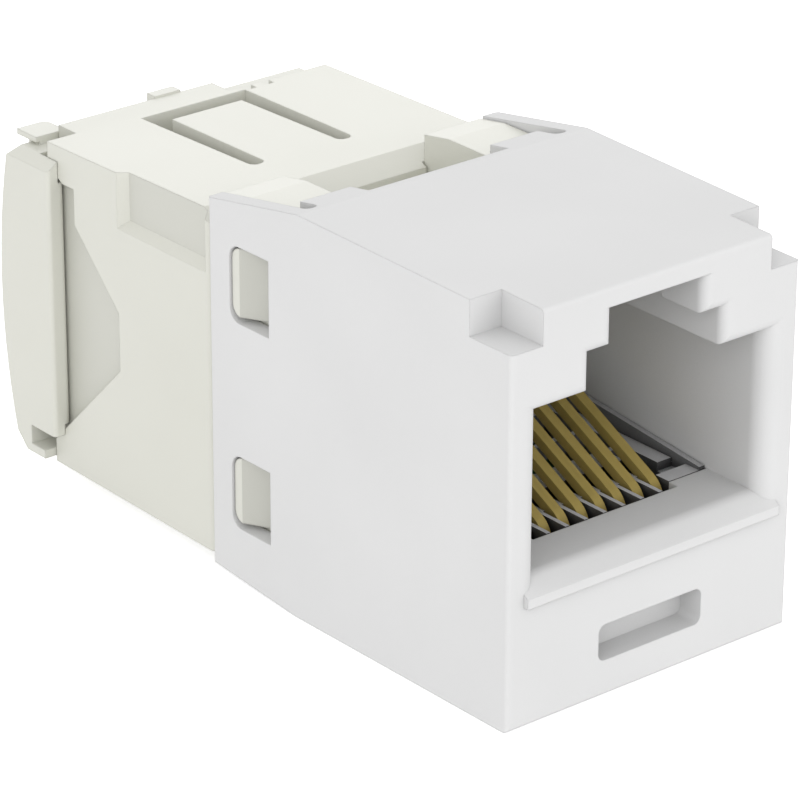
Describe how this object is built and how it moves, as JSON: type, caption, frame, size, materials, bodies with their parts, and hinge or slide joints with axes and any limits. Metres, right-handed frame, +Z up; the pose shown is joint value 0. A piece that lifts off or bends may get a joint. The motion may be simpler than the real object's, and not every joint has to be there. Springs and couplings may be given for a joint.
{
  "type": "keystone jack",
  "caption": "Modular socket for a wall plate: white housing with a stepped plug port, gold spring wires, and an ivory rear cap with a bowed strain relief clip.",
  "frame": {"origin": "centre of the bounding box's bottom, on the plane of the housing's sole", "axes": "-Y out of the plug port, +Y towards the cable, +X to the right seen from the port, +Z up"},
  "size_m": [0.0164, 0.0338, 0.0181],
  "materials": {
    "white_housing": "satin white",
    "ivory_core": "satin ivory",
    "gray_sled": "matt gray",
    "board": "solder mask",
    "ivory_block": "satin ivory",
    "ivory_cap": "satin ivory",
    "ivory_clip": "satin ivory",
    "gold_wire": "gold plated",
    "tinned_fork": "tin plated"
  },
  "bodies": {
    "jack": {"front_housing": "white_housing", "base_housing": "ivory_core", "contact_sled": "gray_sled", "circuit_board": "board", "idc_block": "ivory_block", "idc_contact_1": "tinned_fork", "idc_contact_2": "tinned_fork", "idc_contact_3": "tinned_fork", "idc_contact_4": "tinned_fork", "idc_contact_5": "tinned_fork", "idc_contact_6": "tinned_fork", "idc_contact_7": "tinned_fork", "idc_contact_8": "tinned_fork"},
    "cap": {"termination_cap": "ivory_cap"},
    "clip": {"strain_relief_clip": "ivory_clip"},
    "contact_1": {"plug_contact_1": "gold_wire"},
    "contact_2": {"plug_contact_2": "gold_wire"},
    "contact_3": {"plug_contact_3": "gold_wire"},
    "contact_4": {"plug_contact_4": "gold_wire"},
    "contact_5": {"plug_contact_5": "gold_wire"},
    "contact_6": {"plug_contact_6": "gold_wire"},
    "contact_7": {"plug_contact_7": "gold_wire"},
    "contact_8": {"plug_contact_8": "gold_wire"}
  },
  "joints": [
    {"name": "cap_slide", "type": "slide", "parent": "jack", "child": "cap", "axis": [0, 1, 0], "range_m": [0, 0.01]},
    {"name": "clip_slide", "type": "slide", "parent": "cap", "child": "clip", "axis": [0, 1, 0], "range_m": [0, 0.006]},
    {"name": "contact_flex_1", "type": "hinge", "parent": "jack", "child": "contact_1", "pos_m": [-0.00356, -0.01297, 0.00442], "axis": [1, 0, 0], "range_deg": [-9, 0], "stiffness_Nm_per_rad": 0.02},
    {"name": "contact_flex_2", "type": "hinge", "parent": "jack", "child": "contact_2", "pos_m": [-0.00254, -0.01297, 0.00442], "axis": [1, 0, 0], "range_deg": [-9, 0], "stiffness_Nm_per_rad": 0.02},
    {"name": "contact_flex_3", "type": "hinge", "parent": "jack", "child": "contact_3", "pos_m": [-0.00152, -0.01297, 0.00442], "axis": [1, 0, 0], "range_deg": [-9, 0], "stiffness_Nm_per_rad": 0.02},
    {"name": "contact_flex_4", "type": "hinge", "parent": "jack", "child": "contact_4", "pos_m": [-0.00051, -0.01297, 0.00442], "axis": [1, 0, 0], "range_deg": [-9, 0], "stiffness_Nm_per_rad": 0.02},
    {"name": "contact_flex_5", "type": "hinge", "parent": "jack", "child": "contact_5", "pos_m": [0.00051, -0.01297, 0.00442], "axis": [1, 0, 0], "range_deg": [-9, 0], "stiffness_Nm_per_rad": 0.02},
    {"name": "contact_flex_6", "type": "hinge", "parent": "jack", "child": "contact_6", "pos_m": [0.00152, -0.01297, 0.00442], "axis": [1, 0, 0], "range_deg": [-9, 0], "stiffness_Nm_per_rad": 0.02},
    {"name": "contact_flex_7", "type": "hinge", "parent": "jack", "child": "contact_7", "pos_m": [0.00254, -0.01297, 0.00442], "axis": [1, 0, 0], "range_deg": [-9, 0], "stiffness_Nm_per_rad": 0.02},
    {"name": "contact_flex_8", "type": "hinge", "parent": "jack", "child": "contact_8", "pos_m": [0.00356, -0.01297, 0.00442], "axis": [1, 0, 0], "range_deg": [-9, 0], "stiffness_Nm_per_rad": 0.02}
  ]
}
